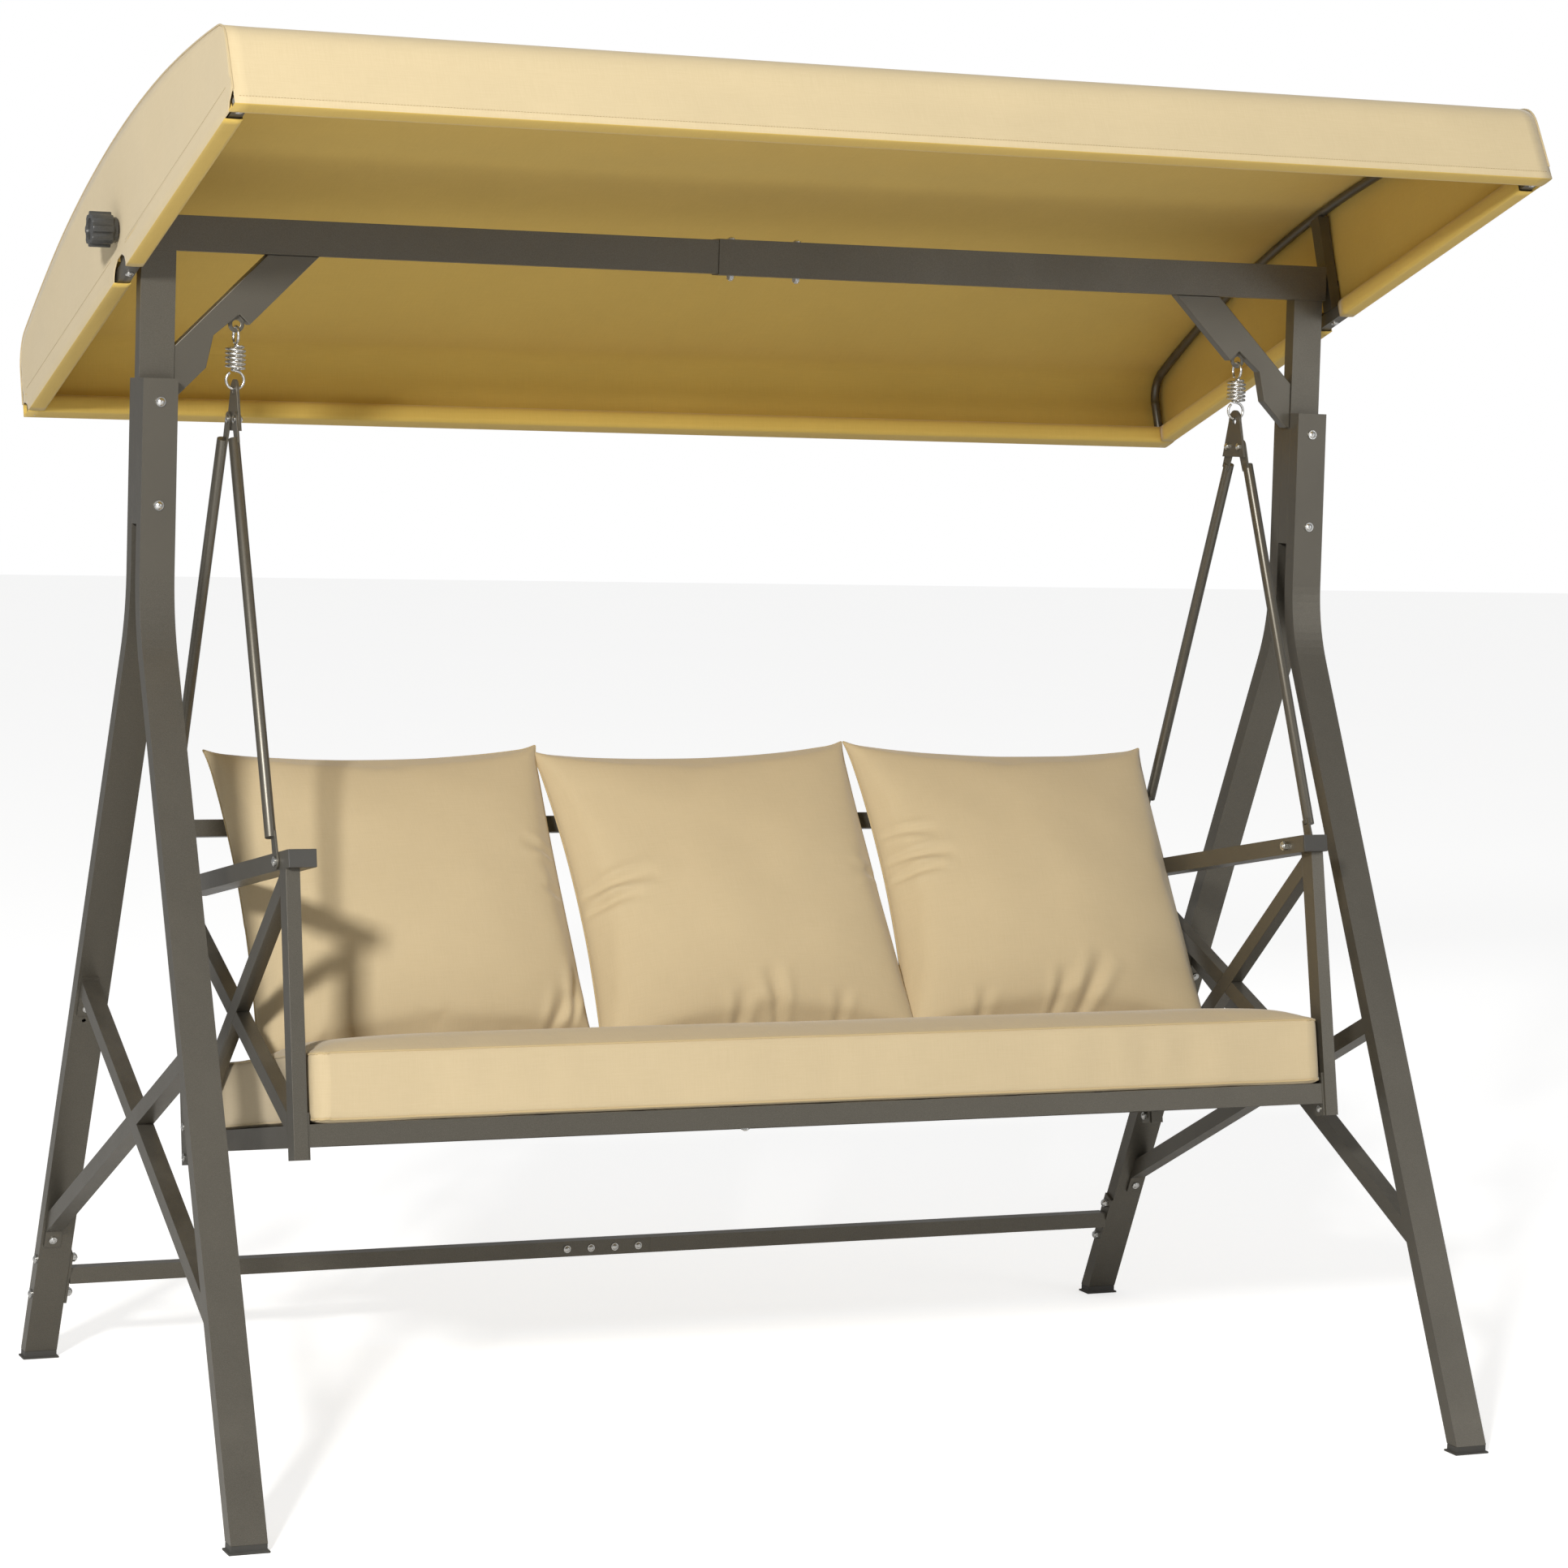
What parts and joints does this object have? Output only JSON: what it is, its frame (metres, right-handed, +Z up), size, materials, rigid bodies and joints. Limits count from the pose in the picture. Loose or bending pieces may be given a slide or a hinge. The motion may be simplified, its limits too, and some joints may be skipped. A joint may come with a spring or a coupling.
{
  "type": "canopy swing bench",
  "caption": "Garden swing bench: steel A-frame stand, sprung hanging seat with cushions, and a tilting fabric canopy.",
  "frame": {"origin": "centre of the foot rectangle on the ground, under the middle of the beam", "axes": "+X to the sitter's left hand, the long way of the bench; -Y is the front; +Z up"},
  "size_m": [2.0438, 1.212, 1.9741],
  "materials": {
    "frame_paint": "taupe-grey powder coat, fine metallic satin",
    "zinc": "bright zinc plate",
    "dark_plastic": "moulded, matte dark grey",
    "knob_plastic": "moulded, satin dark grey",
    "canopy_cloth": "plain woven polyester, beige",
    "cushion_cloth": "plain woven polyester, beige"
  },
  "bodies": {
    "stand": {"front_leg_left": "frame_paint", "front_leg_right": "frame_paint", "rear_leg_left": "frame_paint", "rear_leg_right": "frame_paint", "side_brace_left": "frame_paint", "side_brace_right": "frame_paint", "post_left": "frame_paint", "post_right": "frame_paint", "beam_left": "frame_paint", "beam_right": "frame_paint", "gusset_left": "frame_paint", "gusset_right": "frame_paint", "stretcher_left": "frame_paint", "stretcher_right": "frame_paint", "foot_caps": "dark_plastic", "leg_bolts": "zinc", "brace_bolts": "zinc", "stretcher_bolts": "zinc", "beam_bolts": "zinc"},
    "suspension": {"spring_left": "zinc", "spring_right": "zinc"},
    "seat": {"strap_left": "frame_paint", "strap_right": "frame_paint", "hanger_front_left": "frame_paint", "hanger_front_right": "frame_paint", "hanger_rear_left": "frame_paint", "hanger_rear_right": "frame_paint", "seat_front_post_left": "frame_paint", "seat_front_post_right": "frame_paint", "seat_rear_post_left": "frame_paint", "seat_rear_post_right": "frame_paint", "seat_side_brace_left": "frame_paint", "seat_side_brace_right": "frame_paint", "arm_left": "frame_paint", "arm_right": "frame_paint", "hanger_rivets": "zinc", "hanger_bolts": "zinc", "arm_caps": "dark_plastic", "seat_base_frame": "frame_paint", "back_rail": "frame_paint", "back_slats": "frame_paint", "seat_bolts": "zinc", "seat_cushion": "cushion_cloth", "pillow_left": "cushion_cloth", "pillow_middle": "cushion_cloth", "pillow_right": "cushion_cloth"},
    "canopy": {"canopy_cover": "canopy_cloth", "canopy_rib_left": "frame_paint", "canopy_rib_right": "frame_paint", "canopy_side_tube_left": "frame_paint", "canopy_side_tube_right": "frame_paint", "tilt_bracket_left": "frame_paint", "tilt_bracket_right": "frame_paint", "canopy_front_tube": "frame_paint", "canopy_rear_tube": "frame_paint", "canopy_caps": "dark_plastic", "canopy_bolts": "zinc"},
    "knob_l": {"knob_left": "knob_plastic"},
    "knob_r": {"knob_right": "knob_plastic"}
  },
  "joints": [
    {"name": "swing", "type": "hinge", "parent": "stand", "child": "suspension", "pos_m": [0, 0, 1.5971], "axis": [1, 0, 0], "range_deg": [-20, 20]},
    {"name": "bounce", "type": "slide", "parent": "suspension", "child": "seat", "axis": [0, 0, 1], "range_m": [-0.03, 0.006], "stiffness_N_per_m": 113000, "springref_m": 0.006, "deforming": ["spring_left", "spring_right"]},
    {"name": "canopy_tilt", "type": "hinge", "parent": "stand", "child": "canopy", "pos_m": [0, 0, 1.725], "axis": [1, 0, 0], "range_deg": [-20, 35]},
    {"name": "knob_left_turn", "type": "hinge", "parent": "stand", "child": "knob_l", "pos_m": [-0.985, 0, 1.725], "axis": [1, 0, 0], "continuous": true},
    {"name": "knob_right_turn", "type": "hinge", "parent": "stand", "child": "knob_r", "pos_m": [0.985, 0, 1.725], "axis": [1, 0, 0], "continuous": true}
  ]
}
